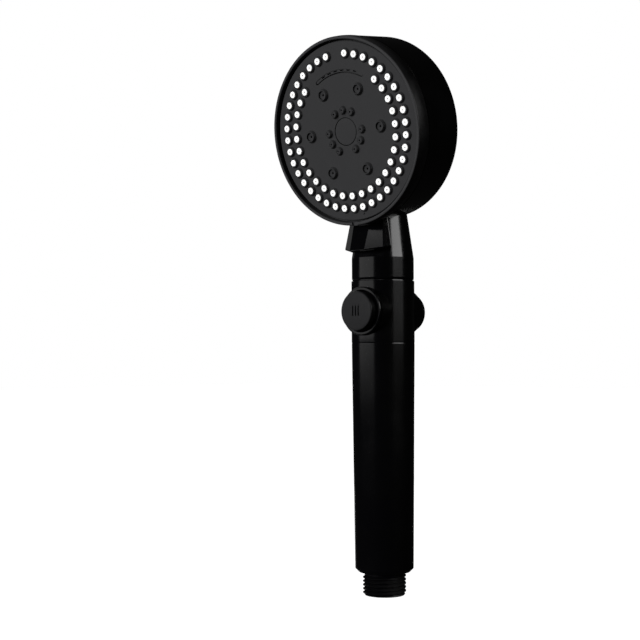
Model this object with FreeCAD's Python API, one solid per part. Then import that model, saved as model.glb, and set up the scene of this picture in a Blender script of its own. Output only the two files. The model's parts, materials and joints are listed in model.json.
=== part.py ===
import FreeCAD, Part
import math
import os
from FreeCAD import Vector

# Handheld shower head with a turning spray face and a push-through stop valve.
# Millimetres. The origin is the centre of the inlet's end face and +Z runs up the handle.
# The spray face looks towards -Y and a little down, and +X is to its right.

# Inlet: parallel pipe thread G 1/2, 14 threads to the inch
THREAD_DIAMETER = 20.955
THREAD_PITCH = 25.4 / 14
THREAD_DEPTH = 1.0
THREAD_CREST = 0.32
THREAD_END = 9.4
INLET_BORE = 5.8
SCREEN_SEAT = 8.2

# Handle
GRIP_BOTTOM = 10.5
GRIP_CHAMFER = 2.0
GRIP_TOP = 121.6
GRIP_RADIUS_LOW = 14.14
GRIP_RADIUS_HIGH = 15.27
GRIP_BORE = 12.2
VALVE_TOP = 152.1
VALVE_RADIUS = 15.3
SPIGOT_RADIUS = 12.15
TUBE_RADIUS = 7.4
TUBE_BORE = 5.8

# Neck
COLLAR_RADIUS = 15.08
COLLAR_TOP = 162.8
NECK_SLOPE = 0.145
NECK_DOME_START = 189.0
NECK_DOME_HEIGHT = 9.0
NECK_WATERWAY = 4.8
NECK_WATERWAY_Y = 1.5

# Stop valve, on an axis along Y through the handle
VALVE_Z = 136.85
BEZEL_FACE = 16.9
BEZEL_RADIUS = 11.7
BEZEL_DEPTH = 1.8
BOSS_RADIUS = 12.7
BUTTON_RADIUS = 9.4
BUTTON_WELL = 9.8
BUTTON_DEPTH = 9.1
BUTTON_WELL_FLOOR = 8.5
FRONT_BUTTON_FACE = -20.9
REAR_BUTTON_FACE = 22.1
CARTRIDGE_RADIUS = 7.0
CARTRIDGE_BORE = 5.0
SPOOL_RADIUS = 4.95
PORT_LENGTH = 2.6
PORT_WIDTH = 8.0

# Spray head: its own axis leaves the face, height zero is the plane of the nozzle tips
FACE_TILT = 10.67
FACE_CENTRE = Vector(0, -28.70, 221.40)
LIP_FRONT = 0.6
RIM_RADIUS = 44.6
RIM_BORE = 42.9
RIM_REAR = -7.0
HOUSING_FRONT = -7.3
HOUSING_REAR = -32.3
HOUSING_REAR_RADIUS = 43.9
HOUSING_BORE = 40.6
HOUSING_FLOOR = -29.2
PLATE_FRONT = -1.3
PLATE_REAR = -4.3
PLATE_RADIUS = 42.2
CHAMBER_REAR = -12.0
CHAMBER_RADIUS = 40.2
DECK_FRONT = -14.0
DECK_REAR = -16.5
POST_RADIUS = 5.0
POST_NOSE = -6.5
MODES = 5
PORT_CIRCLE = 18.0
DETENT_CIRCLE = 30.0

# Nozzles
OUTER_RING = 36.46
OUTER_PITCH = 9.0
OUTER_COUNT = 39
INNER_RING = 30.5
INNER_PITCH = 11.25
INNER_FIRST = 45.0
INNER_COUNT = 25
RAIN_RADIUS = 1.6
RAIN_JET = 0.45
LARGE_RING = 21.5
SMALL_RING = 10.1
SLOT_RADIUS = 28.3
SLOT_HALF_WIDTH = 0.95
SLOT_HALF_ANGLE = 29.0

UP = Vector(0, 0, 1)
HERE = Vector(0, 0, 0)


def save(node, shape):
    shape.exportStep(os.path.join("parts", node + ".step"))
    print(f"{node:22s} solids {len(shape.Solids):3d}  volume {shape.Volume:10.1f}  valid {shape.isValid()}")


def turned(profile):
    """Solid of revolution about Z from a closed outline of (radius, height) points."""
    points = [Vector(radius, 0, height) for radius, height in profile]
    face = Part.Face(Part.makePolygon(points + points[:1]))
    return face.revolve(HERE, UP, 360)


def rod(radius, low, high, x=0.0, y=0.0):
    return Part.makeCylinder(radius, high - low, Vector(x, y, low))


def tube(outer, inner, low, high):
    return turned([(inner, low), (outer, low), (outer, high), (inner, high)])


def seal_ring(ring_radius, section, height):
    return Part.makeTorus(ring_radius, section, Vector(0, 0, height))


def on_circle(radius, clock_degrees):
    """Point on a circle, counted clockwise from the top as seen from the front of the face."""
    angle = math.radians(clock_degrees)
    return radius * math.sin(angle), radius * math.cos(angle)


def in_head(shape):
    """Move a shape from the spray head's own frame to its place on the handle."""
    placed = shape.copy()
    placed.rotate(HERE, Vector(1, 0, 0), 90 + FACE_TILT)
    placed.translate(FACE_CENTRE)
    return placed


def across(shape):
    """Lay a shape built along +Z on the stop valve's axis, along +Y."""
    placed = shape.copy()
    placed.rotate(HERE, Vector(1, 0, 0), -90)
    placed.translate(Vector(0, 0, VALVE_Z))
    return placed


def round_rims(shape, radius, heights):
    """Round the circular edges that lie at the given heights."""
    edges = []
    for edge in shape.Edges:
        box = edge.BoundBox
        level = any(abs(box.ZMin - h) < 1e-4 and abs(box.ZMax - h) < 1e-4 for h in heights)
        if level and box.XLength > 1:
            edges.append(edge)
    return shape.makeFillet(radius, edges)


def coil(radius, wire_radius, low, high, turns):
    """Compression spring on the Z axis with its wire inside the stated ends."""
    rise = high - low - 2 * wire_radius
    path = Part.makeHelix(rise / turns, rise, radius)
    ring = Part.Wire(Part.makeCircle(wire_radius, Vector(radius, 0, 0), Vector(0, 1, 0)))
    spring = Part.Wire(path).makePipeShell([ring], True, True)
    spring.translate(Vector(0, 0, low + wire_radius))
    return spring


def dome_arc(radius, height, rise):
    """Arc from (radius, height) to the axis, centred on the axis, with its pole."""
    ball = (radius ** 2 + rise ** 2) / (2 * abs(rise))
    halfway = radius / 2
    drop = math.copysign(ball - math.sqrt(ball ** 2 - halfway ** 2), rise)
    pole = Vector(0, 0, height + rise)
    middle = Vector(halfway, 0, height + rise - drop)
    return Part.Arc(Vector(radius, 0, height), middle, pole).toShape(), pole


def grip_radius(height):
    slope = (GRIP_RADIUS_HIGH - GRIP_RADIUS_LOW) / (GRIP_TOP - GRIP_BOTTOM)
    return GRIP_RADIUS_LOW + slope * (height - GRIP_BOTTOM)


def neck_radius(height):
    return COLLAR_RADIUS - NECK_SLOPE * (height - COLLAR_TOP)


# ---------------------------------------------------------------- inlet and handle

def thread_groove():
    """Helical V groove that leaves narrow crests on the thread's outside."""
    crest = THREAD_DIAMETER / 2
    half = (THREAD_PITCH - THREAD_CREST) / 2
    turns_height = THREAD_END + 2 * THREAD_PITCH
    outside = 0.12
    spread = half * (1 + outside / THREAD_DEPTH)
    corners = [
        Vector(crest - THREAD_DEPTH, 0, 0),
        Vector(crest + outside, 0, spread),
        Vector(crest + outside, 0, -spread),
    ]
    outline = Part.makePolygon(corners + corners[:1])
    helix = Part.Wire(Part.makeHelix(THREAD_PITCH, turns_height, crest))
    groove = helix.makePipeShell([outline], True, True)
    groove.translate(Vector(0, 0, -THREAD_PITCH))
    keep = rod(crest + 2, -2 * THREAD_PITCH, THREAD_END - 0.3)
    return groove.common(keep)


def inlet_nipple():
    crest = THREAD_DIAMETER / 2
    relief = crest - THREAD_DEPTH - 0.25
    end_chamfer = 0.9
    body = turned([
        (INLET_BORE, 0), (crest - end_chamfer, 0), (crest, end_chamfer), (crest, THREAD_END),
        (relief, THREAD_END), (relief, GRIP_BOTTOM), (GRIP_BORE - 0.1, GRIP_BOTTOM),
        (GRIP_BORE - 0.1, 18.9), (GRIP_BORE - 1.3, 18.9), (GRIP_BORE - 1.3, 20.4),
        (GRIP_BORE - 0.1, 20.4), (GRIP_BORE - 0.1, 24), (TUBE_RADIUS + 0.1, 24),
        (TUBE_RADIUS + 0.1, 14), (INLET_BORE, 14),
    ])
    seat = rod(SCREEN_SEAT, 0, 3)
    return body.cut(seat).cut(thread_groove())


def inlet_screen():
    """Strainer disc: a rim and a drilled middle."""
    disc = rod(SCREEN_SEAT - 0.1, 2.2, 3.0)
    holes = [rod(0.55, 2, 3.2)]
    for ring in (1, 2, 3, 4):
        for step in range(6 * ring):
            x, y = on_circle(1.6 * ring, 60 * step / ring)
            holes.append(rod(0.55, 2, 3.2, x, y))
    return disc.cut(holes)


def flow_regulator():
    disc = rod(INLET_BORE - 0.05, 6.0, 9.0)
    ports = []
    for step in range(6):
        x, y = on_circle(3.4, 60 * step)
        ports.append(rod(0.8, 5, 10, x, y))
    return disc.cut(ports)


def grip_shell():
    chamfer_top = GRIP_BOTTOM + GRIP_CHAMFER
    shell = turned([
        (GRIP_BORE, GRIP_BOTTOM), (GRIP_BORE + 0.35, GRIP_BOTTOM),
        (grip_radius(chamfer_top), chamfer_top),
        (GRIP_RADIUS_HIGH, GRIP_TOP - 0.3), (GRIP_RADIUS_HIGH - 0.3, GRIP_TOP), (GRIP_BORE, GRIP_TOP),
    ])
    return round_rims(shell, 0.5, [chamfer_top])


def water_tube():
    low = 14.2
    high = 122.0
    body = tube(TUBE_RADIUS, TUBE_BORE, low, high)
    grooves = [tube(TUBE_RADIUS + 1, TUBE_RADIUS - 0.8, h - 0.65, h + 0.65) for h in (19.6, 116.0)]
    return body.cut(grooves)


def tube_seals():
    return Part.makeCompound([seal_ring(TUBE_RADIUS - 0.35, 0.42, h) for h in (19.6, 116.0)])


# ---------------------------------------------------------------- stop valve

def valve_housing():
    relief = 0.15
    relief_height = 0.9
    core = turned([
        (0, 112), (SPIGOT_RADIUS, 112), (SPIGOT_RADIUS, 113.9), (SPIGOT_RADIUS - 1.2, 113.9),
        (SPIGOT_RADIUS - 1.2, 115.3), (SPIGOT_RADIUS, 115.3), (SPIGOT_RADIUS, GRIP_TOP),
        (VALVE_RADIUS - relief, GRIP_TOP), (VALVE_RADIUS, GRIP_TOP + relief_height),
        (VALVE_RADIUS, VALVE_TOP - relief_height), (VALVE_RADIUS - relief, VALVE_TOP - 0.35),
        (VALVE_RADIUS - 0.7, VALVE_TOP - 0.35), (VALVE_RADIUS - 0.7, VALVE_TOP),
        (11.5, VALVE_TOP), (11.5, 154.9), (10.4, 154.9), (10.4, 156.3), (11.5, 156.3), (11.5, 160), (0, 160),
    ])
    boss_end = BEZEL_FACE - BEZEL_DEPTH
    boss_foot = 8.5
    shoulder = BOSS_RADIUS - (BOSS_RADIUS - BEZEL_RADIUS) * (boss_end - boss_foot) / (BEZEL_FACE - boss_foot)
    boss = turned([
        (0, 0), (BOSS_RADIUS, 0), (BOSS_RADIUS, boss_foot), (shoulder, boss_end), (0, boss_end),
    ])
    body = core.fuse([across(boss), across(boss.mirror(HERE, UP))])
    half_port = PORT_LENGTH / 2
    slot = Part.makeBox(PORT_WIDTH, PORT_LENGTH, 24, Vector(-PORT_WIDTH / 2, -half_port, VALVE_Z - 12))
    hollows = [
        across(rod(CARTRIDGE_RADIUS, -20, 20)),
        across(rod(BUTTON_WELL, BUTTON_WELL_FLOOR, 20)),
        across(rod(BUTTON_WELL, -20, -BUTTON_WELL_FLOOR)),
        across(rod(BEZEL_RADIUS, boss_end, 20)),
        across(rod(BEZEL_RADIUS, -20, -boss_end)),
        rod(TUBE_RADIUS + 0.1, 111, 126),
        rod(TUBE_RADIUS, 147.8, 161),
        slot,
    ]
    return body.cut(hollows)


def button_bezel():
    """Ring around a button, built for the rear and mirrored for the front."""
    low = BEZEL_FACE - BEZEL_DEPTH
    ring = tube(BEZEL_RADIUS, BUTTON_WELL, low, BEZEL_FACE)
    return round_rims(ring, 0.55, [BEZEL_FACE])


def valve_cartridge():
    sleeve = tube(CARTRIDGE_RADIUS, CARTRIDGE_BORE, -BUTTON_WELL_FLOOR, BUTTON_WELL_FLOOR)
    grooves = [tube(CARTRIDGE_RADIUS + 1, CARTRIDGE_RADIUS - 1.1, y - 0.6, y + 0.6) for y in (-5.5, 5.5)]
    window = Part.makeBox(
        PORT_WIDTH, PORT_LENGTH, 24, Vector(-PORT_WIDTH / 2, -PORT_LENGTH / 2, VALVE_Z - 12))
    return across(sleeve.cut(grooves)).cut(window)


def cartridge_seals():
    return across(Part.makeCompound([seal_ring(CARTRIDGE_RADIUS - 0.55, 0.53, y) for y in (-5.5, 5.5)]))


def valve_spool():
    """Sliding rod with a narrow waist that opens the water way."""
    waist = 1.6
    spigot = 3.0
    front_land = FRONT_BUTTON_FACE + BUTTON_DEPTH
    rear_land = REAR_BUTTON_FACE - BUTTON_DEPTH
    spool = turned([
        (0, front_land - 5), (spigot, front_land - 5), (spigot, front_land), (SPOOL_RADIUS, front_land),
        (SPOOL_RADIUS, -5.15), (3.6, -5.15), (3.6, -3.25), (SPOOL_RADIUS, -3.25),
        (SPOOL_RADIUS, -waist), (2.6, -waist), (2.6, waist), (SPOOL_RADIUS, waist),
        (SPOOL_RADIUS, 4.45), (3.6, 4.45), (3.6, 6.35), (SPOOL_RADIUS, 6.35),
        (SPOOL_RADIUS, rear_land), (spigot, rear_land), (spigot, rear_land + 5), (0, rear_land + 5),
    ])
    return across(spool)


def spool_seals():
    return across(Part.makeCompound([seal_ring(4.28, 0.66, y) for y in (-4.2, 5.4)]))


def button(face, ribs):
    """Cup-shaped push cap with a socket for the spool. Built facing +Z with its crown at height 0."""
    depth = BUTTON_DEPTH
    crown = 0.35
    shell = turned([
        (0, 0), (BUTTON_RADIUS, -crown), (BUTTON_RADIUS + 0.1, -depth),
        (BUTTON_RADIUS - 1.5, -depth), (BUTTON_RADIUS - 1.6, -2.2), (4.6, -2.2), (4.6, -depth),
        (3.0, -depth), (3.0, -depth + 5), (0, -depth + 5),
    ])
    shell = round_rims(shell, 0.4, [-crown])
    for offset in ribs:
        bar = Part.makeBox(0.7, 5.0, 1.0, Vector(offset - 0.35, -2.5, -0.5))
        shell = shell.cut(bar.makeFillet(0.3, [e for e in bar.Edges if e.BoundBox.ZLength > 0.9]))
    if face < 0:
        shell.rotate(HERE, Vector(1, 0, 0), 180)
    shell.translate(Vector(0, 0, face))
    return across(shell)


# ---------------------------------------------------------------- neck

def neck_envelope():
    """Outside of the neck: collar, cone and the rounded top behind the head."""
    top_radius = neck_radius(NECK_DOME_START)
    step = 0.35
    low = VALVE_TOP + 0.15
    outline = [
        Vector(0, 0, low), Vector(COLLAR_RADIUS - step, 0, low), Vector(COLLAR_RADIUS - 0.1, 0, low + 0.25),
        Vector(COLLAR_RADIUS, 0, low + 0.9), Vector(COLLAR_RADIUS, 0, COLLAR_TOP),
        Vector(top_radius, 0, NECK_DOME_START),
    ]
    lines = [Part.makeLine(a, b) for a, b in zip(outline, outline[1:])]
    cap, crown = dome_arc(top_radius, NECK_DOME_START, NECK_DOME_HEIGHT)
    lines.append(cap)
    lines.append(Part.makeLine(crown, outline[0]))
    return Part.Face(Part.Wire(lines)).revolve(HERE, UP, 360)


def neck_shell():
    hollows = [
        rod(11.55, VALVE_TOP, 160.4),
        rod(TUBE_RADIUS, 160, 171),
        rod(NECK_WATERWAY, 170, 215, 0, NECK_WATERWAY_Y),
    ]
    return neck_envelope().cut(hollows).cut(in_head(head_solid()))


def chin_cover():
    """Faceted fairing between the neck and the head's front rim, with a shallow hopper-shaped underside."""
    inner = chin_ring(165.7, 0, [(10.6, -7.0), (11.4, -8.7), (9.2, -11.1), (3.2, -14.2)])
    low = chin_ring(165.6, 0.2235, [(11.1, -7.2), (14.4, -10.95), (11.9, -14.4), (4.1, -19.9)])
    high = chin_ring(190.0, 0, [(7.6, -7.3), (9.95, -9.9), (8.6, -11.2), (5.1, -12.6)])
    faces = [Part.Face(Part.makePolygon(ring + ring[:1])) for ring in (inner, high)]
    for under, over in ((inner, low), (low, high)):
        for a, b, c, d in zip(under, under[1:] + under[:1], over[1:] + over[:1], over):
            faces.append(Part.makeRuledSurface(Part.makeLine(a, b), Part.makeLine(d, c)))
    block = Part.makeSolid(Part.makeShell(faces))
    turning_room = in_head(rod(RIM_RADIUS + 0.6, RIM_REAR - 0.1, 30))
    return block.cut([neck_envelope(), in_head(head_solid()), turning_room])


def chin_ring(height, rise, half):
    """Mirrored ring of corners that climbs by the stated rise for each millimetre behind the foremost."""
    front_y = half[-1][1]
    right = [Vector(x, y, height + rise * (y - front_y)) for x, y in half]
    left = [Vector(-corner.x, corner.y, corner.z) for corner in right]
    return left + right[::-1]


# ---------------------------------------------------------------- fixed parts of the head

def head_solid():
    """Outside of the fixed drum, from its front skirt to its slightly domed back."""
    corner = 2.6
    dome = 0.9
    skirt_front = PLATE_REAR - 0.4
    skirt = RIM_BORE - 0.3
    half_corner = corner * math.sqrt(0.5)
    side = Vector(HOUSING_REAR_RADIUS, 0, HOUSING_REAR + corner)
    knee = Vector(side.x - corner + half_corner, 0, side.z - half_corner)
    back = Vector(side.x - corner, 0, HOUSING_REAR)
    cap, pole = dome_arc(back.x, HOUSING_REAR, -dome)
    front = [Vector(0, 0, skirt_front), Vector(skirt, 0, skirt_front), Vector(skirt, 0, HOUSING_FRONT),
             Vector(RIM_RADIUS - 0.25, 0, HOUSING_FRONT), Vector(RIM_RADIUS, 0, HOUSING_FRONT - 0.25), side]
    edges = [Part.makeLine(a, b) for a, b in zip(front, front[1:])]
    edges.append(Part.Arc(side, knee, back).toShape())
    edges.append(cap)
    edges.append(Part.makeLine(pole, front[0]))
    return Part.Face(Part.Wire(edges)).revolve(HERE, UP, 360)


def screw_places():
    return [on_circle(34.0, 45 + 90 * step) for step in range(4)]


def head_housing():
    cavity = rod(HOUSING_BORE, HOUSING_FLOOR, 5)
    shell = head_solid().cut(cavity)
    posts = [rod(3.0, HOUSING_FLOOR - 0.5, DECK_REAR, x, y) for x, y in screw_places()]
    pilots = [rod(1.2, -27, 0, x, y) for x, y in screw_places()]
    drum = in_head(shell.fuse(posts).cut(pilots))
    return drum.cut(rod(NECK_WATERWAY, 165, 192, 0, NECK_WATERWAY_Y))


def water_deck():
    """Fixed partition with the outlet, the detent pocket and the post that the face turns on."""
    port_x, port_y = on_circle(PORT_CIRCLE, 180)
    ball_x, ball_y = on_circle(DETENT_CIRCLE, 0)
    deck = turned([
        (0, DECK_REAR), (HOUSING_BORE - 0.05, DECK_REAR), (HOUSING_BORE - 0.05, -15.9),
        (HOUSING_BORE - 1.2, -15.9), (HOUSING_BORE - 1.2, -14.6), (HOUSING_BORE - 0.05, -14.6),
        (HOUSING_BORE - 0.05, DECK_FRONT), (POST_RADIUS, DECK_FRONT), (POST_RADIUS, POST_NOSE), (0, POST_NOSE),
    ])
    bosses = [rod(7.0, -21.0, DECK_REAR, port_x, port_y), rod(3.0, -22.5, DECK_REAR, ball_x, ball_y)]
    wells = [
        rod(5.05, -19.5, 0, port_x, port_y), rod(3.0, -22, 0, port_x, port_y),
        rod(1.6, -21.9, 0, ball_x, ball_y), rod(1.5, -15.5, 0),
    ]
    wells += [rod(1.6, -17, -13, x, y) for x, y in screw_places()]
    return deck.fuse(bosses).cut(wells)


def deck_screws():
    """Pan-head screws with a cross recess."""
    screws = []
    for x, y in screw_places():
        head_top = DECK_FRONT + 1.3
        screw = rod(1.2, -26, DECK_FRONT, x, y).fuse(rod(2.5, DECK_FRONT, head_top, x, y))
        for turn in (0, 90):
            bar = Part.makeBox(2.6, 0.6, 1.6, Vector(x - 1.3, y - 0.3, head_top - 0.8))
            bar.rotate(Vector(x, y, 0), UP, turn)
            screw = screw.cut(bar)
        screws.append(screw)
    return Part.makeCompound(screws)


def at_port(shape):
    moved = shape.copy()
    moved.translate(Vector(*on_circle(PORT_CIRCLE, 180), 0))
    return moved


def at_detent(shape):
    moved = shape.copy()
    moved.translate(Vector(*on_circle(DETENT_CIRCLE, 0), 0))
    return moved


def centre_screw():
    """Screw that holds the turning face on its post."""
    head_top = POST_NOSE + 0.6 + 2.0
    screw = rod(1.5, -15.0, POST_NOSE + 0.6).fuse(rod(3.4, POST_NOSE + 0.6, head_top))
    for turn in (0, 90):
        bar = Part.makeBox(3.6, 0.8, 2.0, Vector(-1.8, -0.4, head_top - 1.1))
        bar.rotate(HERE, UP, turn)
        screw = screw.cut(bar)
    return screw


# ---------------------------------------------------------------- turning spray face

def rain_places():
    outer = [on_circle(OUTER_RING, OUTER_PITCH * (step + 1)) for step in range(OUTER_COUNT)]
    inner = [on_circle(INNER_RING, INNER_FIRST + INNER_PITCH * step) for step in range(INNER_COUNT)]
    return outer + inner


def large_places():
    return [on_circle(LARGE_RING, 30 + 60 * step) for step in range(6)]


def small_places():
    return [on_circle(SMALL_RING, 30 * step) for step in range(12) if step % 4 != 2]


def front_rim():
    """Turning grip ring with a soft crown and an index notch at its lowest point."""
    crown = 0.2
    rim = turned([
        (RIM_BORE, RIM_REAR), (RIM_RADIUS - 0.1, RIM_REAR), (RIM_RADIUS + crown, -4.2),
        (RIM_RADIUS + crown - 0.05, -2.0), (RIM_RADIUS - 0.1, LIP_FRONT), (RIM_BORE + 0.15, LIP_FRONT),
    ])
    rim = round_rims(rim, 0.45, [LIP_FRONT])
    notch = Part.makeBox(3.2, 4.0, 1.4, Vector(-1.6, -RIM_RADIUS - 1.6, LIP_FRONT - 0.9))
    return rim.cut(notch)


def slot_outline(half_width, low, high):
    """Arc-shaped block with round ends, centred on the top of the face."""
    band = tube(SLOT_RADIUS + half_width, SLOT_RADIUS - half_width, low, high)
    reach = 60.0
    side = math.radians(SLOT_HALF_ANGLE)
    wedge = Part.Face(Part.makePolygon([
        Vector(0, 0, low), Vector(-reach * math.sin(side), reach * math.cos(side), low), Vector(0, reach, low),
        Vector(reach * math.sin(side), reach * math.cos(side), low), Vector(0, 0, low),
    ])).extrude(Vector(0, 0, high - low))
    ends = [rod(half_width, low, high, *on_circle(SLOT_RADIUS, s * SLOT_HALF_ANGLE)) for s in (-1, 1)]
    return band.common(wedge).fuse(ends).removeSplitter()


def face_plate():
    flange = -2.9
    plate = turned([
        (0, PLATE_REAR), (RIM_BORE, PLATE_REAR), (RIM_BORE, flange), (PLATE_RADIUS, flange),
        (PLATE_RADIUS, PLATE_FRONT - 0.3), (PLATE_RADIUS - 0.3, PLATE_FRONT), (0, PLATE_FRONT),
    ])
    sunk = 0.2
    collars = []
    holes = [rod(6.7, -6, 2)]
    for x, y in rain_places():
        collars.append(Part.makeCone(2.45, 2.05, 1.2 + sunk, Vector(x, y, PLATE_FRONT - sunk)))
        holes.append(rod(RAIN_RADIUS + 0.08, -6, 2, x, y))
    for x, y in large_places():
        collars.append(Part.makeCone(2.95, 2.4, 1.5 + sunk, Vector(x, y, PLATE_FRONT - sunk)))
        holes.append(rod(2.0, -6, 2, x, y))
    for x, y in small_places():
        collars.append(Part.makeCone(2.0, 1.55, 1.5 + sunk, Vector(x, y, PLATE_FRONT - sunk)))
        holes.append(rod(1.1, -6, 2, x, y))
    holes.append(slot_outline(SLOT_HALF_WIDTH, -2.9, 2))
    holes.append(slot_outline(SLOT_HALF_WIDTH - 0.45, -6, 2))
    x, y = on_circle(39.9, 172.4)
    corners = [Vector(x + 0.8 * math.sin(a), y + 0.8 * math.cos(a), PLATE_FRONT - 0.4)
               for a in (math.radians(120 * k + 172) for k in range(3))]
    holes.append(Part.Face(Part.makePolygon(corners + corners[:1])).extrude(Vector(0, 0, 2)))
    return plate.fuse(collars).cut(holes)


def rain_nozzle_mat():
    """Silicone web with every rain nozzle standing on it."""
    web = tube(38.7, 28.4, PLATE_REAR - 1.0, PLATE_REAR)
    stems = [rod(RAIN_RADIUS, PLATE_REAR - 0.5, 0, x, y) for x, y in rain_places()]
    jets = []
    for x, y in rain_places():
        jets.append(rod(RAIN_JET, -6, 1, x, y))
        jets.append(Part.makeCone(1.1, RAIN_JET, 3.2, Vector(x, y, PLATE_REAR - 1.0)))
    return web.fuse(stems).cut(jets)


def jet_plug(radius, flange, front, jet):
    stem = rod(radius, PLATE_REAR, front).fuse(rod(flange, PLATE_REAR - 0.8, PLATE_REAR))
    return stem.cut([rod(jet, -8, 2), Part.makeCone(radius * 0.6, jet, 3.0, Vector(0, 0, PLATE_REAR - 0.8))])


def placed_copies(shape, places):
    copies = []
    for x, y in places:
        copy = shape.copy()
        copy.translate(Vector(x, y, 0))
        copies.append(copy)
    return Part.makeCompound(copies)


def slot_insert():
    """Curved strip with a row of slits for the flat water curtain."""
    strip = slot_outline(SLOT_HALF_WIDTH - 0.18, -2.9, PLATE_FRONT - 0.05)
    strip = strip.fuse(slot_outline(SLOT_HALF_WIDTH - 0.5, PLATE_REAR, -2.9))
    slits = []
    for step in range(6):
        x, y = on_circle(SLOT_RADIUS, -20 + 8 * step)
        slit = Part.makeBox(2.2, 0.5, 6.0, Vector(-1.1, -0.25, -6))
        slit.rotate(HERE, UP, 20 - 8 * step)
        slit.translate(Vector(x, y, 0))
        slits.append(slit)
    return strip.cut(slits)


def centre_cap():
    cap = turned([
        (0, -3.0), (5.4, -3.0), (5.4, PLATE_REAR), (6.0, PLATE_REAR), (6.5, -3.6), (6.5, PLATE_FRONT - 0.15),
        (6.35, PLATE_FRONT), (0, PLATE_FRONT + 0.1),
    ])
    return cap


def spray_chamber():
    """Turning chamber plate: its back has one inlet and one detent dimple for each spray mode."""
    floor = -10.0
    ledge = POST_NOSE - 1.5
    body = turned([
        (POST_RADIUS + 0.05, CHAMBER_REAR), (CHAMBER_RADIUS, CHAMBER_REAR), (CHAMBER_RADIUS, PLATE_REAR),
        (38.8, PLATE_REAR), (38.8, floor), (27.9, floor), (27.9, -5.4), (26.9, -5.4), (26.9, floor),
        (14.4, floor), (14.4, PLATE_REAR - 0.9), (13.4, PLATE_REAR - 0.9), (13.4, floor), (8.3, floor),
        (8.3, PLATE_REAR - 0.1), (6.9, PLATE_REAR - 0.1), (6.9, POST_NOSE - 0.1),
        (POST_RADIUS + 0.05, POST_NOSE - 0.1), (POST_RADIUS + 0.05, ledge),
    ])
    cuts = []
    for step in range(MODES):
        angle = 180 + 360 * step / MODES
        cuts.append(rod(3.2, -13, -9, *on_circle(PORT_CIRCLE, angle)))
        x, y = on_circle(DETENT_CIRCLE, angle - 180)
        cuts.append(Part.makeSphere(1.6, Vector(x, y, CHAMBER_REAR - 1.2)))
    return body.cut(cuts)


# ---------------------------------------------------------------- write every piece

os.makedirs("parts", exist_ok=True)

save("inlet_nipple", inlet_nipple())
save("inlet_screen", inlet_screen())
save("flow_regulator", flow_regulator())
save("nipple_seal", seal_ring(GRIP_BORE - 0.68, 0.5, 19.65))
save("grip_shell", grip_shell())
save("water_tube", water_tube())
save("tube_seals", tube_seals())
save("grip_top_seal", seal_ring(SPIGOT_RADIUS - 0.6, 0.5, 114.6))

bezel = button_bezel()
save("valve_housing", valve_housing())
save("rear_bezel", across(bezel))
save("front_bezel", across(bezel.mirror(HERE, UP)))
save("valve_cartridge", valve_cartridge())
save("cartridge_seals", cartridge_seals())
save("valve_spool", valve_spool())
save("spool_seals", spool_seals())
save("front_button", button(FRONT_BUTTON_FACE, (-1.6, 0.0, 1.6)))
save("rear_button", button(REAR_BUTTON_FACE, ()))

save("neck_shell", neck_shell())
save("neck_seal", seal_ring(11.0, 0.5, 155.6))
save("chin_cover", chin_cover())
save("head_housing", head_housing())
save("water_deck", in_head(water_deck()))
save("deck_seal", in_head(seal_ring(HOUSING_BORE - 0.6, 0.55, -15.25)))
save("deck_screws", in_head(deck_screws()))
save("port_seal", in_head(at_port(tube(5.0, 3.2, -16.1, CHAMBER_REAR - 0.06))))
save("port_spring", in_head(at_port(coil(4.2, 0.35, -19.5, -16.1, 3))))
save("detent_ball", in_head(at_detent(Part.makeSphere(1.5, Vector(0, 0, CHAMBER_REAR - 1.55)))))
save("detent_spring", in_head(at_detent(coil(1.15, 0.2, -21.9, -15.05, 8))))
save("centre_washer", in_head(tube(6.4, 1.6, POST_NOSE, POST_NOSE + 0.6)))
save("centre_screw", in_head(centre_screw()))

save("front_rim", in_head(front_rim()))
save("face_plate", in_head(face_plate()))
save("rain_nozzle_mat", in_head(rain_nozzle_mat()))
save("large_jets", in_head(placed_copies(jet_plug(1.98, 3.0, -0.4, 0.45), large_places())))
save("small_jets", in_head(placed_copies(jet_plug(1.08, 1.7, 0.15, 0.4), small_places())))
save("slot_insert", in_head(slot_insert()))
save("centre_cap", in_head(centre_cap()))
save("spray_chamber", in_head(spray_chamber()))
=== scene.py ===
# %% [markdown]
# # A handheld shower head, made piece by piece
#
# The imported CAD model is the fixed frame. It has the handle, the stop valve, the neck, the spray head
# and everything inside them. This lesson builds the skin that is seen: smooth shells, soft nozzles,
# a cut thread and buttons, each riding on the body that it belongs to.

# %% Load the frame
import json
import math

import bmesh
import bpy
from mathutils import Matrix, Vector


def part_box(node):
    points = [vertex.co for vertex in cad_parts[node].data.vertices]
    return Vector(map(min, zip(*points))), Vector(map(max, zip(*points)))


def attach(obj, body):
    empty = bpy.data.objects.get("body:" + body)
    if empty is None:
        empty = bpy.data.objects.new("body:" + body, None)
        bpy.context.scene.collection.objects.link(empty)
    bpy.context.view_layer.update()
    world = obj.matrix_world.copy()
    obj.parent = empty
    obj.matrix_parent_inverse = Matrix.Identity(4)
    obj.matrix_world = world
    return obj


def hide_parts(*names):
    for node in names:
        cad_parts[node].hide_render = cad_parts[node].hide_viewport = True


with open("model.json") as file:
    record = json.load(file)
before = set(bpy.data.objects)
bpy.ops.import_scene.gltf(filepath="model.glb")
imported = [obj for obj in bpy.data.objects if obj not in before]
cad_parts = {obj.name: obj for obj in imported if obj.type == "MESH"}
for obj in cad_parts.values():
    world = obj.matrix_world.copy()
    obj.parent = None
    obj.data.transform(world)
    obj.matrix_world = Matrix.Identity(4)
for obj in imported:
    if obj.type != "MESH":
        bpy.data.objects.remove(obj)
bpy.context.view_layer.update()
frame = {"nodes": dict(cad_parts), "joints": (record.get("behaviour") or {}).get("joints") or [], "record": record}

MM = 0.001

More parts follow.
